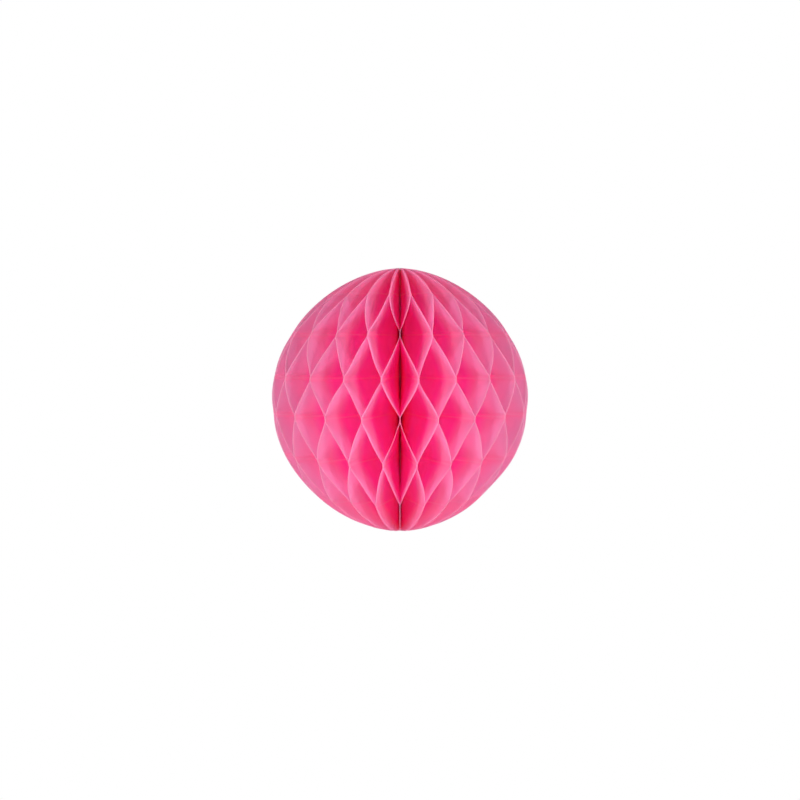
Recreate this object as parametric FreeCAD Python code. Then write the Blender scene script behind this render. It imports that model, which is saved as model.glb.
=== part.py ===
import FreeCAD, Part

import math
import os

# A paper honeycomb ball: forty leaves of tissue stand round a thread, like the pages of a
# book opened all the way until its two covers meet back to back. Each leaf is glued to the
# next one along short level lines. The lines of one pair of leaves lie half way between the
# lines of the pairs beside it, so the open leaves zigzag and make the cells.
#
# Millimetres and degrees. The origin is the ball's centre, +Z runs up the thread, the covers
# meet on the +Y side, and -Y is the front. Seams, the places where two leaves are glued, are
# numbered from 0 on the first cover, anticlockwise seen from above, to 40 on the second one.
# Leaf k stands between seams k - 1 and k.

# The ball
BALL_RADIUS = 50.0
HALF_HEIGHT = 51.5
OUTLINE_POWER = 0.57     # 0.5 is an ellipse; a little more draws the poles to a soft point
POLE_RADIUS = 1.8        # where the cut edge of the paper ends, beside the thread
LEAF_COUNT = 40
FAN_BUNCHING = 4.1       # degrees: leaves crowd at the covers and opposite them

# The paper and its glue lines
PAPER = 0.08
GLUE_GAP = 0.05
GLUE_LINE = 1.6          # height of a glue line up the leaf
EVEN_SEAM_ROWS = (25.3, -4.6, -37.6)
ODD_SEAM_ROWS = (40.8, 9.4, -20.9)
BEND = 0.07              # share of the way between two glue lines taken by each bend
END_OPENING = 0.12       # how far a leaf's free end springs away from its last glue line
SECTION_STEP = 1.0       # height between the sections that shape a leaf

# The thread and the glue that binds the leaves to it
THREAD_RADIUS = 0.25
BINDING_RADIUS = 1.15
LEAF_INNER_RADIUS = 1.2
BINDING_HALF_LENGTH = 49.4
KNOT_RADIUS = 0.95
THREAD_TAIL = 0.5

# The covers and the pads that hold them back to back
CARD = 0.3
CARD_FOLD_EDGE = 7.0     # from the thread to the cover's straight edge
CARD_INSET = 1.2         # the paper stands out past the cover by this much
PAD_THICKNESS = 0.1
PAD_SIZE = (9.0, 14.0)   # outwards from the thread, and up
PAD_REACH = 36.0
PAD_HEIGHTS = (21.0, 0.0, -21.0)


def outline(z):
    """The ball's radius at height z."""
    return BALL_RADIUS * (1.0 - (z / HALF_HEIGHT) ** 2) ** OUTLINE_POWER


def height_of(radius):
    """The height at which the outline has this radius, above the centre."""
    return HALF_HEIGHT * math.sqrt(1.0 - (radius / BALL_RADIUS) ** (1.0 / OUTLINE_POWER))


def seam_angle(k):
    """The direction of seam k about the thread, in radians."""
    even = 2.0 * math.pi * k / LEAF_COUNT
    return math.pi / 2 + even - math.radians(FAN_BUNCHING) * math.sin(2.0 * even)


def bend(u):
    """Runs 0 to 1 in a straight slope with a rounded bend at each end."""
    top = 1.0 / (2.0 * BEND * (1.0 - BEND))
    if u < BEND:
        return top * u * u
    if u > 1.0 - BEND:
        return 1.0 - top * (1.0 - u) ** 2
    return (u - BEND / 2) / (1.0 - BEND)


def near_even(z):
    """How near a leaf stands to its even seam at height z: 1 glued to it, 0 to its odd one."""
    rows = sorted([(row, 1.0) for row in EVEN_SEAM_ROWS] + [(row, 0.0) for row in ODD_SEAM_ROWS])
    half = GLUE_LINE / 2
    lowest, highest = rows[0], rows[-1]
    if z < lowest[0]:
        free = (lowest[0] - half - z) / (lowest[0] - half + TOP)
        return abs(lowest[1] - END_OPENING * bend(min(max(free, 0.0), 1.0)))
    for (low, before), (high, after) in zip(rows, rows[1:]):
        if z <= high:
            u = (z - low - half) / (high - low - GLUE_LINE)
            return before + (after - before) * bend(min(max(u, 0.0), 1.0))
    free = (z - highest[0] - half) / (TOP - highest[0] - half)
    return abs(highest[1] - END_OPENING * bend(min(max(free, 0.0), 1.0)))


TOP = height_of(POLE_RADIUS)
CARD_FACE = PAD_THICKNESS / 2 + CARD      # from the middle of the closing to a cover's outer face
BESIDE_LEAF = (GLUE_GAP + PAPER) / 2      # from a seam to the middle of the paper
BESIDE_CARD = CARD_FACE + GLUE_GAP + PAPER / 2


def beside_card(r):
    """The same distance beside a cover: it grows from the thread to the cover's straight edge."""
    share = min((r - LEAF_INNER_RADIUS) / (CARD_FOLD_EDGE - LEAF_INNER_RADIUS), 1.0)
    return BESIDE_LEAF + (BESIDE_CARD - BESIDE_LEAF) * share


def leaf_point(k, r, z, side):
    """A point of leaf k, r out from the thread, on the paper's middle or a face of it."""
    even = near_even(z)
    far = even if k % 2 == 0 else 1.0 - even
    before = beside_card(r) if k == 1 else BESIDE_LEAF
    after = beside_card(r) if k == LEAF_COUNT else BESIDE_LEAF
    angle = seam_angle(k - 1) * (1.0 - far) + seam_angle(k) * far
    shift = before * (1.0 - far) - after * far + side * PAPER / 2
    out = FreeCAD.Vector(math.cos(angle), math.sin(angle), 0)
    across = FreeCAD.Vector(-math.sin(angle), math.cos(angle), 0)
    return out * r + across * shift + FreeCAD.Vector(0, 0, z)


def radii_of(k, z):
    """Where a leaf's cross-section has its corners: only a leaf beside a cover bends."""
    outer = outline(z)
    if k in (1, LEAF_COUNT):
        return (LEAF_INNER_RADIUS, min(CARD_FOLD_EDGE, outer - PAPER), outer)
    return (LEAF_INNER_RADIUS, outer)


def leaf(k):
    """Leaf k: a closed sheet ruled between smooth lines that run from pole to pole."""
    steps = int(2.0 * TOP / SECTION_STEP)
    heights = [TOP * (2.0 * i / steps - 1.0) for i in range(steps + 1)]
    corners = len(radii_of(k, 0.0))
    ring = [(c, -1) for c in range(corners)] + [(c, 1) for c in reversed(range(corners))]
    lines = []
    for corner, side in ring:
        curve = Part.BSplineCurve()
        curve.buildFromPoles([leaf_point(k, radii_of(k, z)[corner], z, side) for z in heights],
                             False, 3)
        lines.append(curve.toShape())
    faces = [Part.makeRuledSurface(line, lines[i - 1]) for i, line in enumerate(lines)]
    for z in (heights[0], heights[-1]):
        points = [leaf_point(k, radii_of(k, z)[corner], z, side) for corner, side in ring]
        faces.append(Part.Face(Part.makePolygon(points + points[:1])))
    shell = Part.Shell(faces)
    shell.sewShape()
    solid = Part.Solid(shell)
    if solid.Volume < 0:
        solid.reverse()
    return solid


def cover(side):
    """A half-round card. Side -1 is the first cover and 1 the second."""
    reach = CARD_FOLD_EDGE + CARD_INSET
    end = height_of(reach)
    count = 24
    points = []
    for i in range(count + 1):
        z = end * math.sin(math.pi * (i / count - 0.5))
        points.append(FreeCAD.Vector(0, outline(z) - CARD_INSET, z))
    rim = Part.BSplineCurve()
    rim.interpolate(points)
    edges = [rim.toShape(), Part.LineSegment(points[-1], points[0]).toShape()]
    face = Part.Face(Part.Wire(edges))
    card = face.extrude(FreeCAD.Vector(side * CARD, 0, 0))
    card.translate(FreeCAD.Vector(side * PAD_THICKNESS / 2, 0, 0))
    return card


def closing_pad(height):
    """A double-sided sticky pad between the two covers."""
    depth, tall = PAD_SIZE
    corner = FreeCAD.Vector(-PAD_THICKNESS / 2, PAD_REACH - depth / 2, height - tall / 2)
    return Part.makeBox(PAD_THICKNESS, depth, tall, corner)


def spine_thread():
    """The thread on the ball's axis, tied off at both poles."""
    length = 2.0 * (TOP - THREAD_TAIL)
    return Part.makeCylinder(THREAD_RADIUS, length, FreeCAD.Vector(0, 0, -length / 2))


def spine_binding():
    """The flexible glue that joins the inner edges of all the leaves to the thread."""
    length = 2.0 * BINDING_HALF_LENGTH
    foot = FreeCAD.Vector(0, 0, -BINDING_HALF_LENGTH)
    return Part.makeCylinder(BINDING_RADIUS, length, foot).cut(spine_thread())


def knot(end):
    """A knot on the thread, against the binding's end: 1 is the top one and -1 the bottom."""
    middle = end * (BINDING_HALF_LENGTH + KNOT_RADIUS * 0.8)
    ball = Part.makeSphere(KNOT_RADIUS, FreeCAD.Vector(0, 0, middle))
    return ball.cut(spine_thread()).cut(spine_binding())


def main():
    os.makedirs("parts", exist_ok=True)
    pieces = {"leaf_%02d" % k: leaf(k) for k in range(1, LEAF_COUNT + 1)}
    pieces["cover_card_first"] = cover(-1)
    pieces["cover_card_second"] = cover(1)
    for name, height in zip(("upper", "middle", "lower"), PAD_HEIGHTS):
        pieces["closing_pad_" + name] = closing_pad(height)
    pieces["spine_thread"] = spine_thread()
    pieces["spine_binding"] = spine_binding()
    pieces["top_knot"] = knot(1)
    pieces["bottom_knot"] = knot(-1)
    for name, shape in pieces.items():
        print("%-20s valid %s, %7.1f mm3" % (name, shape.isValid(), shape.Volume))
        shape.exportStep("parts/%s.step" % name)


main()
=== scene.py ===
import math

import bpy
import numpy as np
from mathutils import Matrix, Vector


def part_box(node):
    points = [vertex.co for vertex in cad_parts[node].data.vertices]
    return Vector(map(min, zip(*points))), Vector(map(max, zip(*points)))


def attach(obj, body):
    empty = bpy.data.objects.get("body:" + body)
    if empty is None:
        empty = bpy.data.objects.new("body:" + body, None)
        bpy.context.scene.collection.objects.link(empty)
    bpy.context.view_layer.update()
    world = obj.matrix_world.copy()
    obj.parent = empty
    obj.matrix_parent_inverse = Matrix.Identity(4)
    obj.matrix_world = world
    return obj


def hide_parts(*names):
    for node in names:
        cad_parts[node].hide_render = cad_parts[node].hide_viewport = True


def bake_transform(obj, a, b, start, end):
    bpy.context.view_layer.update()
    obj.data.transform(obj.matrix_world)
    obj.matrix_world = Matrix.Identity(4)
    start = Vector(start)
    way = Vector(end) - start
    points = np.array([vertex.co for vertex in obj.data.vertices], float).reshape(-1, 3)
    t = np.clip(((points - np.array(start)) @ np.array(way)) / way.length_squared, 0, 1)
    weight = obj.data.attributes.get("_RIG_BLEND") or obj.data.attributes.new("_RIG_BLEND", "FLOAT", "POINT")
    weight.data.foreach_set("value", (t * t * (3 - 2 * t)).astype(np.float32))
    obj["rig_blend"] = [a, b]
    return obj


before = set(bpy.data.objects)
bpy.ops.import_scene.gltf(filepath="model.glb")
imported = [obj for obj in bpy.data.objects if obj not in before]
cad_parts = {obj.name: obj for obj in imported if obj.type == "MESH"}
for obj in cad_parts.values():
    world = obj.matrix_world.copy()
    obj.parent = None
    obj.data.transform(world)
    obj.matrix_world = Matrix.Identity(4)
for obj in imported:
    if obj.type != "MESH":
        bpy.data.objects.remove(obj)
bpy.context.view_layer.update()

# ---- The ball, in metres, as in the CAD model ----
BALL_RADIUS = 0.050
HALF_HEIGHT = 0.0515
OUTLINE_POWER = 0.57
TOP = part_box("leaf_01")[1][2]
LEAF_COUNT = 40
FAN_BUNCHING = math.radians(4.1)

PAPER = 0.00008
GLUE_GAP = 0.00005
EVEN_SEAM_ROWS = (0.0253, -0.0046, -0.0376)
ODD_SEAM_ROWS = (0.0408, 0.0094, -0.0209)
END_OPENING = 0.12
LEAF_INNER_RADIUS = 0.0012
CLOSED_STEP = math.radians(0.25)

CARD_FACE = 0.00035
CARD_FOLD_EDGE = 0.0070

BINDING_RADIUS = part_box("spine_binding")[1][0]
BINDING_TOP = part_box("spine_binding")[1][2]
THREAD_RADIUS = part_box("spine_thread")[1][0]
THREAD_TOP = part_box("spine_thread")[1][2]

# ---- How the tissue lies: narrower glue lines and sharper bends than the CAD model's,
# and free stretches that belly a little ----
GLUE_LINE = 0.0014
BEND = 0.04
STACKED_LEAVES = 3
SLACK = 0.05
DENT_DEPTH = 0.0009
DENT_HEIGHT = -0.033
DENT_SPREAD = 0.007

# ---- Mesh fineness ----
SPAN_STEPS = 10
END_STEPS = 16
RADIUS_STEPS = 18
RIM_CROWDING = 1.6
THREAD_STEPS = 900
THREAD_SIDES = 8
KNOT_STEPS = 96
KNOT_SIDES = 12
BINDING_RINGS = 80
BINDING_SIDES = 4 * LEAF_COUNT

# ---- The spine ----
THREAD_TWIST = 0.0014
KNOT_STRAND = 0.34
KNOT_RISE = 0.62

# ---- The tissue's colours, mostly painted light: a painted highlight on the cut edge and along the bends at the glue rows,
# and a painted-light tone from the rim (0) to TONE_DEPTH further in (1), bluer deep in the cells ----
RIM_DEPTH = 0.0010
RIM_HIGHLIGHT = (1.0, 0.57, 0.76)
LINE_HALF_WIDTH = 0.00045
CREASE_HIGHLIGHT = (1.0, 0.66, 0.86)
CLOUD_COLOUR = (1.0, 0.80, 0.92)
THROUGH_SHARE = 0.6
TONE_DEPTH = 0.050
PAINTED_DEPTH_TONES = (
    (0.00, (1.0, 0.53, 0.79)),
    (0.144, (1.0, 0.51, 0.78)),
    (0.252, (1.0, 0.26, 0.79)),
    (0.60, (1.0, 0.52, 0.955)),
    (0.80, (1.0, 0.50, 0.86)),
)

# ---- The picture ----
CAMERA_DISTANCE = 0.400
CAMERA_ELEVATION = math.radians(2.9)
CAMERA_LENS = 45.8
FLOOR_DROP = 0.30
FLOOR_SIZE = 8.0
WORLD_STRENGTH = 0.17
LIGHT_BOUNCES = 160

# Each lamp of a pair: name, place on the right, disc size, watts. The left one mirrors it.
PAIRED_LIGHTS = (
    ("front_light", (0.636, -1.018, 0.15), 0.25, 3.4),
    ("side_light", (0.9, -0.3, 0.15), 0.40, 4.4),
    ("back_light", (0.7, 0.9, 0.30), 0.60, 1.2),
)
CAMERA_LIGHT = ("camera_light", (0.0, -1.0, 0.08), 0.12, 0.8)


# ---------------------------------------------------------------- the leaves

def outline(z):
    return BALL_RADIUS * (1.0 - (z / HALF_HEIGHT) ** 2) ** OUTLINE_POWER


def seam_angle(k):
    even = 2.0 * math.pi * k / LEAF_COUNT
    return math.pi / 2 + even - FAN_BUNCHING * math.sin(2.0 * even)


def bend(u):
    u = np.clip(u, 0.0, 1.0)
    top = 1.0 / (2.0 * BEND * (1.0 - BEND))
    start = top * u * u
    end = 1.0 - top * (1.0 - u) ** 2
    slope = (u - BEND / 2) / (1.0 - BEND)
    return np.where(u < BEND, start, np.where(u > 1.0 - BEND, end, slope))


def glue_rows():
    """Every glue row from the bottom up, with 1 for a row of the even seams."""
    even = [(row, 1.0) for row in EVEN_SEAM_ROWS]
    odd = [(row, 0.0) for row in ODD_SEAM_ROWS]
    return sorted(even + odd)


def near_even(z):
    """1 where a leaf is glued to its even seam, 0 where it is glued to its odd one."""
    rows = glue_rows()
    half = GLUE_LINE / 2
    value = np.full_like(z, rows[0][1])
    for (low, before), (high, after) in zip(rows, rows[1:]):
        share = bend((z - low - half) / (high - low - GLUE_LINE))
        value = np.where(z > low, before + (after - before) * share, value)
    below = bend((rows[0][0] - half - z) / (rows[0][0] - half + TOP))
    above = bend((z - rows[-1][0] - half) / (TOP - rows[-1][0] - half))
    value = np.where(z < rows[0][0], np.abs(rows[0][1] - END_OPENING * below), value)
    return np.where(z > rows[-1][0], np.abs(rows[-1][1] - END_OPENING * above), value)


def leaf_heights():
    """Heights of a leaf's cross rows, close together at the glue lines and their bends."""
    half = GLUE_LINE / 2
    rows = [row for row, _ in glue_rows()]
    heights = list(np.linspace(-TOP, rows[0] - half, END_STEPS, endpoint=False))
    for low, high in zip(rows, rows[1:]):
        span = high - low - GLUE_LINE
        start = low + half
        heights += [low - half, low, start]
        heights += [start + span * BEND * step for step in (0.35, 0.7)]
        heights += list(start + span * np.linspace(BEND, 1.0 - BEND, SPAN_STEPS))
        heights += [start + span * (1.0 - BEND * step) for step in (0.7, 0.35)]
    heights += [rows[-1] - half, rows[-1]]
    heights += list(np.linspace(rows[-1] + half, TOP, END_STEPS))
    return np.array(heights)


def slack(k, z, out):
    """How far a free stretch bellies sideways, as a share of the gap that it crosses."""
    wave = np.sin(2.1 * k + 190.0 * z) + 0.6 * np.sin(3.7 * k + 85.0 * z + 4.0 * out)
    return SLACK * wave * out


def dent(angle, z):
    """The ball's lower right side is pressed in slightly."""
    toward_right = np.clip(np.cos(angle), 0.0, 1.0) ** 2
    return DENT_DEPTH * toward_right * np.exp(-((z - DENT_HEIGHT) / DENT_SPREAD) ** 2)


def grid_faces(rows, cols):
    """Faces of a closed sheet: a front grid, a back grid and the cut edge between them."""
    count = rows * cols

    def at(i, j, side):
        return side * count + i * cols + j

    faces = []
    for i in range(rows - 1):
        for j in range(cols - 1):
            faces.append((at(i, j, 0), at(i + 1, j, 0), at(i + 1, j + 1, 0), at(i, j + 1, 0)))
            faces.append((at(i, j, 1), at(i, j + 1, 1), at(i + 1, j + 1, 1), at(i + 1, j, 1)))
        for j, flip in ((0, False), (cols - 1, True)):
            quad = (at(i, j, 0), at(i, j, 1), at(i + 1, j, 1), at(i + 1, j, 0))
            faces.append(quad[::-1] if flip else quad)
    for j in range(cols - 1):
        for i, flip in ((0, True), (rows - 1, False)):
            quad = (at(i, j, 0), at(i, j, 1), at(i, j + 1, 1), at(i, j + 1, 0))
            faces.append(quad[::-1] if flip else quad)
    return faces


def card_room(seams, rr):
    """How far the tissue is set off sideways, this many seams from a cover card.

    A closed ball turns each seam by only CLOSED_STEP, so near the spine the first few
    leaves are set off by their own thickness and stay clear of the card.
    """
    layer = PAPER + GLUE_GAP
    beside_card = CARD_FACE + GLUE_GAP / 2
    reach = np.clip((rr - LEAF_INNER_RADIUS) / (CARD_FOLD_EDGE - LEAF_INNER_RADIUS), 0, 1)
    stack = layer * np.minimum(seams, STACKED_LEAVES) - rr * CLOSED_STEP * seams
    return reach * np.maximum(0.0, beside_card + stack)


def leaf_mesh(k):
    """One leaf as a closed sheet, with the share of its turn that each point makes."""
    z = leaf_heights()
    out = 1.0 - (1.0 - np.linspace(0.0, 1.0, RADIUS_STEPS + 1)) ** RIM_CROWDING
    zz = np.repeat(z[:, None], len(out), 1)
    oo = np.repeat(out[None, :], len(z), 0)
    even = near_even(zz)
    far = even if k % 2 == 0 else 1.0 - even
    far = far + 4.0 * far * (1.0 - far) * slack(k, zz, oo)
    angle = seam_angle(k - 1) * (1.0 - far) + seam_angle(k) * far
    edge = outline(zz) - dent(angle, zz)
    rr = LEAF_INNER_RADIUS + (edge - LEAF_INNER_RADIUS) * oo

    beside_leaf = (GLUE_GAP + PAPER) / 2
    first = card_room(k - 1 + far, rr)
    last = card_room(LEAF_COUNT - (k - 1 + far), rr)
    verts = []
    for side in (-1, 1):
        shift = beside_leaf * (1.0 - 2.0 * far) + first - last + side * PAPER / 2
        x = rr * np.cos(angle) - shift * np.sin(angle)
        y = rr * np.sin(angle) + shift * np.cos(angle)
        verts.append(np.stack([x, y, zz], -1).reshape(-1, 3))

    mesh = bpy.data.meshes.new("tissue_leaf_%02d" % k)
    mesh.from_pydata(np.concatenate(verts).tolist(), [], grid_faces(*zz.shape))
    mesh.shade_smooth()
    sheet = mesh.uv_layers.new(name="sheet")
    flat = np.concatenate([np.stack([rr.ravel() + 0.13 * k, zz.ravel()], -1)] * 2)
    corner = np.zeros(len(mesh.loops), int)
    mesh.loops.foreach_get("vertex_index", corner)
    sheet.data.foreach_set("uv", flat[corner].astype(np.float32).ravel())
    # Masks for painted light in the tissue material: the highlight on the cut edge, and the tone that
    # changes with depth.
    add_values(mesh, "rim", np.clip(1.0 - (edge - rr) / RIM_DEPTH, 0, 1))
    add_values(mesh, "depth", np.clip((edge - rr) / TONE_DEPTH, 0, 1))
    return mesh, np.concatenate([far.ravel()] * 2)


def add_values(mesh, name, values):
    attribute = mesh.attributes.new(name, "FLOAT", "POINT")
    both_sides = np.concatenate([values.ravel()] * 2)
    attribute.data.foreach_set("value", both_sides.astype(np.float32))


def make_leaves(material):
    for k in range(1, LEAF_COUNT + 1):
        mesh, share = leaf_mesh(k)
        mesh.materials.append(material)
        piece = add_piece(mesh)
        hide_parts("leaf_%02d" % k)
        before = "first_cover" if k == 1 else "fold_%02d" % (k - 1)
        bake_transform(piece, before, "fold_%02d" % k, start=(0, 0, -TOP), end=(0, 0, TOP))
        mesh.attributes["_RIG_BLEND"].data.foreach_set("value", share.astype(np.float32))


# ---------------------------------------------------------------- the spine

def add_piece(mesh):
    piece = bpy.data.objects.new(mesh.name, mesh)
    bpy.context.scene.collection.objects.link(piece)
    return piece


def tube_mesh(name, points, radius, sides, closed):
    """A round strand along the points, closed into a ring or capped at both ends."""
    points = np.asarray(points, float)
    count = len(points)
    if closed:
        along = np.roll(points, -1, 0) - np.roll(points, 1, 0)
    else:
        along = np.gradient(points, axis=0)
    along /= np.linalg.norm(along, axis=1)[:, None]
    across = np.cross(along, (0.31, 0.17, 0.94))
    across /= np.linalg.norm(across, axis=1)[:, None]
    other = np.cross(along, across)
    turn = np.linspace(0, 2 * math.pi, sides, endpoint=False)
    cos = np.cos(turn)[None, :, None]
    sin = np.sin(turn)[None, :, None]
    ring = cos * across[:, None] + sin * other[:, None]
    verts = (points[:, None] + radius * ring).reshape(-1, 3)
    faces = []
    for i in range(count if closed else count - 1):
        here = i * sides
        there = ((i + 1) % count) * sides
        for j in range(sides):
            after = (j + 1) % sides
            faces.append((here + j, here + after, there + after, there + j))
    if not closed:
        faces.append(tuple(range(sides))[::-1])
        faces.append(tuple(range((count - 1) * sides, count * sides)))
    mesh = bpy.data.meshes.new(name)
    mesh.from_pydata(verts.tolist(), [], faces)
    mesh.shade_smooth()
    return mesh


def make_thread(material):
    """Two plies twisted round each other, which together are as thick as the thread."""
    ply = THREAD_RADIUS / 2
    z = np.linspace(-THREAD_TOP + ply, THREAD_TOP - ply, THREAD_STEPS)
    for name, start in (("spine_thread_ply_a", 0.0), ("spine_thread_ply_b", math.pi)):
        turn = 2 * math.pi * z / THREAD_TWIST + start
        points = np.stack([ply * np.cos(turn), ply * np.sin(turn), z], -1)
        mesh = tube_mesh(name, points, ply, THREAD_SIDES, False)
        mesh.materials.append(material)
        piece = add_piece(mesh)
        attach(piece, "first_cover")
        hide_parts("spine_thread")


def make_knot(node, material):
    """A small overhand knot, pulled tight round the thread's end."""
    low, high = [Vector(corner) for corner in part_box(node)]
    middle = (low + high) / 2
    reach = (high.x - low.x) / 2
    strand = reach * KNOT_STRAND
    turn = np.linspace(0, 2 * math.pi, KNOT_STEPS, endpoint=False)
    wide = (reach - strand) / 3.0
    x = wide * (np.sin(turn) + 2 * np.sin(2 * turn))
    y = wide * (np.cos(turn) - 2 * np.cos(2 * turn))
    z = -(reach - strand) * KNOT_RISE * np.sin(3 * turn)
    points = np.stack([x, y, z], -1) + np.array(middle)
    mesh = tube_mesh(node + "_loops", points, strand, KNOT_SIDES, True)
    mesh.materials.append(material)
    piece = add_piece(mesh)
    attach(piece, "first_cover")
    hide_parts(node)


def make_binding(material):
    """The glued edges of the leaves, which stand in fine ridges round the thread."""
    z = np.linspace(-BINDING_TOP, BINDING_TOP, BINDING_RINGS)
    turn = np.linspace(0, 2 * math.pi, BINDING_SIDES, endpoint=False)
    zz, tt = np.meshgrid(z, turn, indexing="ij")
    ridge = 0.5 + 0.5 * np.cos(LEAF_COUNT * tt)
    radius = BINDING_RADIUS * (0.955 + 0.03 * ridge + 0.015 * np.sin(900.0 * zz + 3.0 * tt))
    verts = np.stack([radius * np.cos(tt), radius * np.sin(tt), zz], -1).reshape(-1, 3)
    faces = []
    for i in range(BINDING_RINGS - 1):
        here = i * BINDING_SIDES
        there = here + BINDING_SIDES
        for j in range(BINDING_SIDES):
            after = (j + 1) % BINDING_SIDES
            faces.append((here + j, here + after, there + after, there + j))
    faces.append(tuple(range(BINDING_SIDES))[::-1])
    faces.append(tuple(range((BINDING_RINGS - 1) * BINDING_SIDES, BINDING_RINGS * BINDING_SIDES)))
    mesh = bpy.data.meshes.new("spine_binding_ridges")
    mesh.from_pydata(verts.tolist(), [], faces)
    mesh.shade_smooth()
    mesh.materials.append(material)
    piece = add_piece(mesh)
    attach(piece, "first_cover")
    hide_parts("spine_binding")


# ---------------------------------------------------------------- the materials

class Nodes:
    """A material's node tree, with short names for the nodes that this script uses."""

    def __init__(self, name):
        self.material = bpy.data.materials.new(name)
        self.material.use_nodes = True
        self.tree = self.material.node_tree
        self.shader = self.tree.nodes["Principled BSDF"]
        self.output = self.tree.nodes["Material Output"]

    def new(self, kind):
        return self.tree.nodes.new(kind)

    def put(self, value, socket):
        if isinstance(value, (int, float)):
            socket.default_value = value
        elif isinstance(value, tuple):
            socket.default_value = value + (1.0,)
        else:
            self.tree.links.new(value, socket)

    def math(self, kind, first, second=0.0, clamp=False):
        node = self.new("ShaderNodeMath")
        node.operation = kind
        node.use_clamp = clamp
        self.put(first, node.inputs[0])
        self.put(second, node.inputs[1])
        return node.outputs[0]

    def mix(self, factor, first, second):
        node = self.new("ShaderNodeMix")
        node.data_type = "RGBA"
        self.put(factor, node.inputs[0])
        self.put(first, node.inputs[6])
        self.put(second, node.inputs[7])
        return node.outputs[2]

    def ramp(self, factor, stops):
        node = self.new("ShaderNodeValToRGB")
        self.put(factor, node.inputs[0])
        points = node.color_ramp.elements
        while len(points) < len(stops):
            points.new(0.5)
        for point, (position, colour) in zip(points, stops):
            point.position = position
            point.color = colour + (1.0,)
        return node.outputs[0]

    def stretch(self, place, scale):
        node = self.new("ShaderNodeMapping")
        self.put(place, node.inputs["Vector"])
        node.inputs["Scale"].default_value = scale
        return node.outputs[0]

    def noise(self, place, scale, detail=3.0):
        node = self.new("ShaderNodeTexNoise")
        self.put(place, node.inputs["Vector"])
        node.inputs["Scale"].default_value = scale
        node.inputs["Detail"].default_value = detail
        return node.outputs["Fac"]

    def attribute(self, name):
        node = self.new("ShaderNodeAttribute")
        node.attribute_name = name
        return node.outputs["Fac"]

    def object_place(self):
        return self.new("ShaderNodeTexCoord").outputs["Object"]

    def bump(self, height, distance, normal=None):
        node = self.new("ShaderNodeBump")
        node.inputs["Distance"].default_value = distance
        self.put(height, node.inputs["Height"])
        if normal is not None:
            self.put(normal, node.inputs["Normal"])
        return node.outputs[0]


def tissue_material():
    """Dyed tissue: cloudy fibres and soft wrinkles, with a painted highlight on the cut edge and along the
    bends at the glue rows, and painted light in a tone that changes with depth into the cells.
    """
    paper = Nodes("pink_tissue")
    sheet = paper.new("ShaderNodeUVMap")
    sheet.uv_map = "sheet"
    place = sheet.outputs[0]
    split = paper.new("ShaderNodeSeparateXYZ")
    paper.put(place, split.inputs[0])
    height = split.outputs[1]
    # Mask for the painted highlight along the bends at the glue rows.
    lines = 0.0
    for row, _ in glue_rows():
        away = paper.math("ABSOLUTE", paper.math("SUBTRACT", height, row))
        share = paper.math("DIVIDE", away, LINE_HALF_WIDTH)
        line = paper.math("SUBTRACT", 1.0, share, clamp=True)
        lines = line if lines == 0.0 else paper.math("MAXIMUM", lines, line)
    clouds = paper.noise(place, 240.0, 4.0)
    fibres = paper.noise(paper.stretch(place, (1.0, 3.0, 1.0)), 1900.0, 2.0)
    # Painted light: the tone changes with depth from the rim and is bluer deep in the cells, standing in for
    # light that reaches the bottom of a cell.
    colour = paper.ramp(paper.attribute("depth"), PAINTED_DEPTH_TONES)
    colour = paper.mix(paper.math("MULTIPLY", clouds, 0.20), colour, CLOUD_COLOUR)
    # Painted highlight along the bends at the glue rows.
    colour = paper.mix(paper.math("MULTIPLY", lines, 0.60), colour, CREASE_HIGHLIGHT)
    # Painted highlight on the cut edge, where light falls on the paper from both sides.
    colour = paper.mix(paper.attribute("rim"), colour, RIM_HIGHLIGHT)
    ripples = paper.noise(paper.stretch(place, (1.0, 0.45, 1.0)), 130.0, 2.0)
    normal = paper.bump(ripples, 0.0006)
    normal = paper.bump(fibres, 0.00004, normal)
    paper.put(colour, paper.shader.inputs["Base Color"])
    paper.put(normal, paper.shader.inputs["Normal"])
    paper.shader.inputs["Roughness"].default_value = 0.8
    paper.shader.inputs["Specular IOR Level"].default_value = 0.2
    through = paper.new("ShaderNodeBsdfTranslucent")
    paper.put(colour, through.inputs["Color"])
    paper.put(normal, through.inputs["Normal"])
    both = paper.new("ShaderNodeMixShader")
    both.inputs[0].default_value = THROUGH_SHARE
    paper.put(paper.shader.outputs[0], both.inputs[1])
    paper.put(through.outputs[0], both.inputs[2])
    paper.put(both.outputs[0], paper.output.inputs["Surface"])
    return paper.material


def card_material():
    """Dyed card: a matt board with short fibres and a faintly paler, rougher tone."""
    card = Nodes("pink_card")
    place = card.object_place()
    clouds = card.noise(place, 180.0, 4.0)
    fibres = card.noise(card.stretch(place, (1.0, 1.0, 0.3)), 2600.0, 3.0)
    tone = card.math("ADD", card.math("MULTIPLY", clouds, 0.6), card.math("MULTIPLY", fibres, 0.4))
    colour = card.mix(tone, (0.86, 0.10, 0.30), (0.98, 0.24, 0.46))
    card.put(colour, card.shader.inputs["Base Color"])
    card.put(card.bump(tone, 0.00006), card.shader.inputs["Normal"])
    card.shader.inputs["Roughness"].default_value = 0.75
    card.shader.inputs["Specular IOR Level"].default_value = 0.3
    return card.material


def pad_material():
    """A double-sided sticky pad: milky film over fine open foam."""
    pad = Nodes("sticky_pad")
    place = pad.object_place()
    cells = pad.new("ShaderNodeTexVoronoi")
    cells.inputs["Scale"].default_value = 3500.0
    pad.put(place, cells.inputs["Vector"])
    clouds = pad.noise(place, 500.0)
    colour = pad.mix(clouds, (0.82, 0.80, 0.76), (0.93, 0.92, 0.90))
    pad.put(colour, pad.shader.inputs["Base Color"])
    pad.put(pad.bump(cells.outputs["Distance"], 0.00003), pad.shader.inputs["Normal"])
    pad.shader.inputs["Roughness"].default_value = 0.42
    return pad.material


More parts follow.
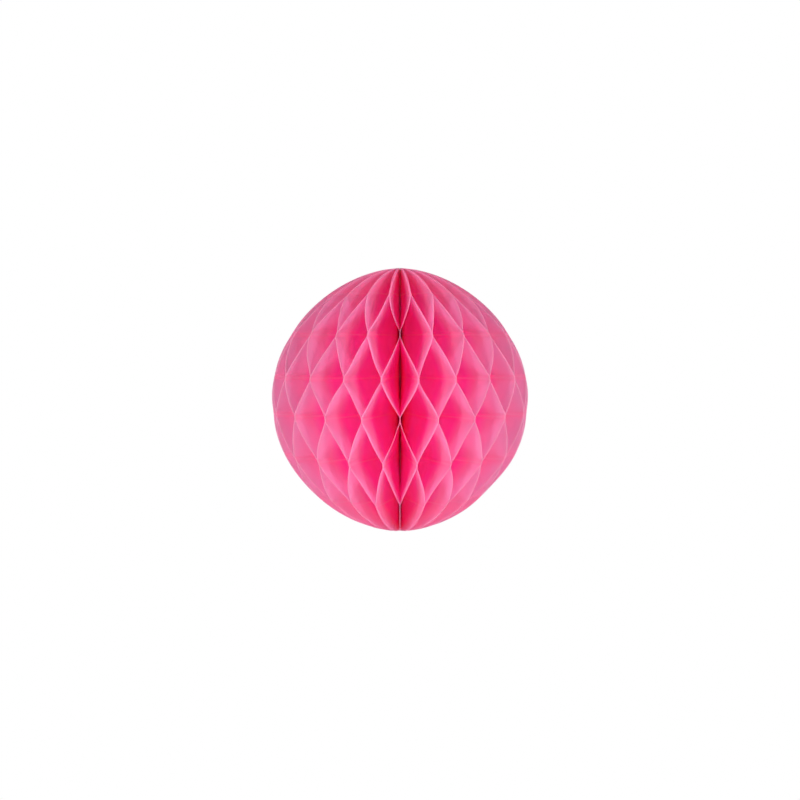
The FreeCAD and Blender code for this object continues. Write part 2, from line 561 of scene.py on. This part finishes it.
def thread_material():
    """White cotton thread: fine slanting fibres with a few shaded hollows."""
    thread = Nodes("cotton_thread")
    place = thread.object_place()
    fibres = thread.noise(thread.stretch(place, (1.0, 1.0, 0.25)), 9000.0, 3.0)
    shade = thread.noise(place, 1500.0)
    colour = thread.mix(shade, (0.86, 0.70, 0.74), (0.95, 0.86, 0.88))
    thread.put(colour, thread.shader.inputs["Base Color"])
    thread.put(thread.bump(fibres, 0.00003), thread.shader.inputs["Normal"])
    thread.shader.inputs["Roughness"].default_value = 0.85
    thread.shader.inputs["Sheen Weight"].default_value = 0.3
    return thread.material


def binding_material():
    """Glue soaked into the pink leaf edges: deeper pink, slightly glossy in patches."""
    glue = Nodes("glued_leaf_edges")
    place = glue.object_place()
    runs = glue.noise(glue.stretch(place, (1.0, 1.0, 0.2)), 1400.0, 3.0)
    patches = glue.noise(place, 420.0)
    colour = glue.mix(patches, (1.0, 0.40, 0.70), (1.0, 0.55, 0.80))
    rough = glue.math("MULTIPLY_ADD", patches, 0.35)
    rough.node.inputs[2].default_value = 0.35
    glue.put(colour, glue.shader.inputs["Base Color"])
    glue.put(rough, glue.shader.inputs["Roughness"])
    glue.put(glue.bump(runs, 0.00005), glue.shader.inputs["Normal"])
    return glue.material


def finish_cad_nodes():
    for material, names in (
        (card_material(), ("cover_card_first", "cover_card_second")),
        (pad_material(), ("closing_pad_upper", "closing_pad_middle", "closing_pad_lower")),
    ):
        for name in names:
            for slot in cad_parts[name].material_slots:
                slot.material = material


# ---------------------------------------------------------------- the picture

def make_world():
    """Plain soft light. The backdrop itself is shown as pure white."""
    world = bpy.data.worlds.new("studio")
    bpy.context.scene.world = world
    world.use_nodes = True
    tree = world.node_tree
    light = tree.nodes["Background"]
    light.inputs["Color"].default_value = (1, 1, 1, 1)
    light.inputs["Strength"].default_value = WORLD_STRENGTH
    white = tree.nodes.new("ShaderNodeBackground")
    white.inputs["Color"].default_value = (1, 1, 1, 1)
    ray = tree.nodes.new("ShaderNodeLightPath")
    either = tree.nodes.new("ShaderNodeMixShader")
    tree.links.new(ray.outputs["Is Camera Ray"], either.inputs[0])
    tree.links.new(light.outputs[0], either.inputs[1])
    tree.links.new(white.outputs[0], either.inputs[2])
    tree.links.new(either.outputs[0], tree.nodes["World Output"].inputs[0])


def make_floor():
    bpy.ops.mesh.primitive_plane_add(size=FLOOR_SIZE, location=(0, 0, -FLOOR_DROP))
    floor = bpy.context.object
    floor.name = "floor"
    white = Nodes("floor_white")
    white.shader.inputs["Base Color"].default_value = (0.9, 0.9, 0.9, 1)
    shown = white.new("ShaderNodeEmission")
    ray = white.new("ShaderNodeLightPath")
    either = white.new("ShaderNodeMixShader")
    white.put(ray.outputs["Is Camera Ray"], either.inputs[0])
    white.put(white.shader.outputs[0], either.inputs[1])
    white.put(shown.outputs[0], either.inputs[2])
    white.put(either.outputs[0], white.output.inputs["Surface"])
    floor.data.materials.append(white.material)


def area_light(name, place, size, power):
    light = bpy.data.lights.new(name, "AREA")
    light.shape = "DISK"
    light.size = size
    light.energy = power
    lamp = bpy.data.objects.new(name, light)
    bpy.context.scene.collection.objects.link(lamp)
    lamp.location = place
    lamp.rotation_euler = (-Vector(place)).to_track_quat("-Z", "Y").to_euler()


def make_camera():
    scene = bpy.context.scene
    data = bpy.data.cameras.new("camera")
    data.lens = CAMERA_LENS
    camera = bpy.data.objects.new("camera", data)
    scene.collection.objects.link(camera)
    back = Vector((0, -math.cos(CAMERA_ELEVATION), math.sin(CAMERA_ELEVATION)))
    camera.location = back * CAMERA_DISTANCE
    camera.rotation_euler = (-back).to_track_quat("-Z", "Y").to_euler()
    scene.camera = camera


make_camera()
make_world()
make_floor()
for side in (-1, 1):
    for name, (x, y, z), size, power in PAIRED_LIGHTS:
        area_light(name, (x * side, y, z), size, power)
area_light(*CAMERA_LIGHT)

make_leaves(tissue_material())
cotton = thread_material()
make_thread(cotton)
make_knot("top_knot", cotton)
make_knot("bottom_knot", cotton)
make_binding(binding_material())
finish_cad_nodes()

# Light crosses many leaves before it reaches the bottom of a cell.
scene = bpy.context.scene
scene.view_settings.view_transform = "Standard"
scene.cycles.max_bounces = LIGHT_BOUNCES
scene.cycles.diffuse_bounces = LIGHT_BOUNCES
scene.cycles.transmission_bounces = LIGHT_BOUNCES
